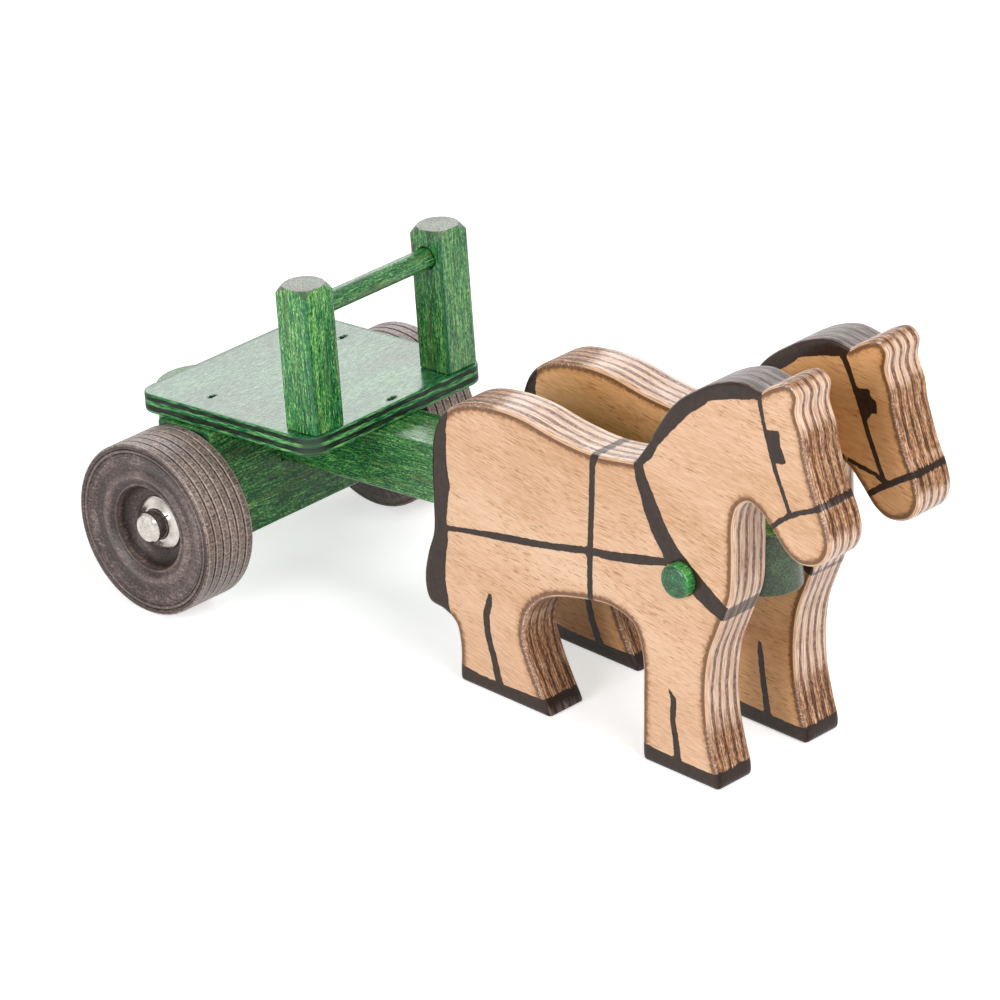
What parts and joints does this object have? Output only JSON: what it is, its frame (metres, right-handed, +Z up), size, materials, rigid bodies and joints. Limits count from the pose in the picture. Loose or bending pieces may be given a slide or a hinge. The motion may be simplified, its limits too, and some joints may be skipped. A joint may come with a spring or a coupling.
{
  "type": "two-horse cart toy",
  "caption": "Wooden pull toy: a green cart with a railed flat deck on treaded wheels, its tongue pinned between plywood horses that rock on a dowel.",
  "frame": {"origin": "on the ground, under the middle of the wheel axle", "axes": "+X the way the horses face, +Y the cart's left side, +Z up"},
  "size_m": [0.3356, 0.1388, 0.1611],
  "materials": {
    "axle_block": "green stain under clear gloss lacquer",
    "tongue": "green stain under clear gloss lacquer",
    "deck": "green-stained plywood under clear gloss lacquer",
    "handle_posts": "green stain under clear gloss lacquer",
    "handle_bar": "green stain under clear gloss lacquer",
    "nails": "bright wire, stained over",
    "screws": "zinc plated",
    "axle_rod": "bright drawn steel",
    "push_nuts": "bright zinc",
    "wheels": "dark brown stain, satin",
    "horses": "clear satin lacquer, hand-painted black lines",
    "horse_dowel": "green stain under clear gloss lacquer"
  },
  "bodies": {
    "cart": {"axle_block": "axle_block", "tongue": "tongue", "deck": "deck", "handle_post_left": "handle_posts", "handle_post_right": "handle_posts", "handle_bar": "handle_bar", "deck_nail_front": "nails", "deck_nail_left": "nails", "deck_nail_right": "nails", "post_screw_left": "screws", "post_screw_right": "screws"},
    "axle": {"axle_rod": "axle_rod", "push_nut_left": "push_nuts", "push_nut_right": "push_nuts"},
    "wheel_left": {"wheel_left": "wheels"},
    "wheel_right": {"wheel_right": "wheels"},
    "horses": {"horse_left": "horses", "horse_right": "horses", "horse_dowel": "horse_dowel"}
  },
  "joints": [
    {"name": "axle_turn", "type": "hinge", "parent": "cart", "child": "axle", "pos_m": [0, 0, 0.03175], "axis": [0, 1, 0], "continuous": true},
    {"name": "wheel_left_spin", "type": "hinge", "parent": "axle", "child": "wheel_left", "pos_m": [0, 0.0582, 0.03175], "axis": [0, 1, 0], "continuous": true},
    {"name": "wheel_right_spin", "type": "hinge", "parent": "axle", "child": "wheel_right", "pos_m": [0, -0.0582, 0.03175], "axis": [0, 1, 0], "continuous": true},
    {"name": "horses_rock", "type": "hinge", "parent": "cart", "child": "horses", "pos_m": [0.21593, 0, 0.0745], "axis": [0, 1, 0], "continuous": true}
  ]
}
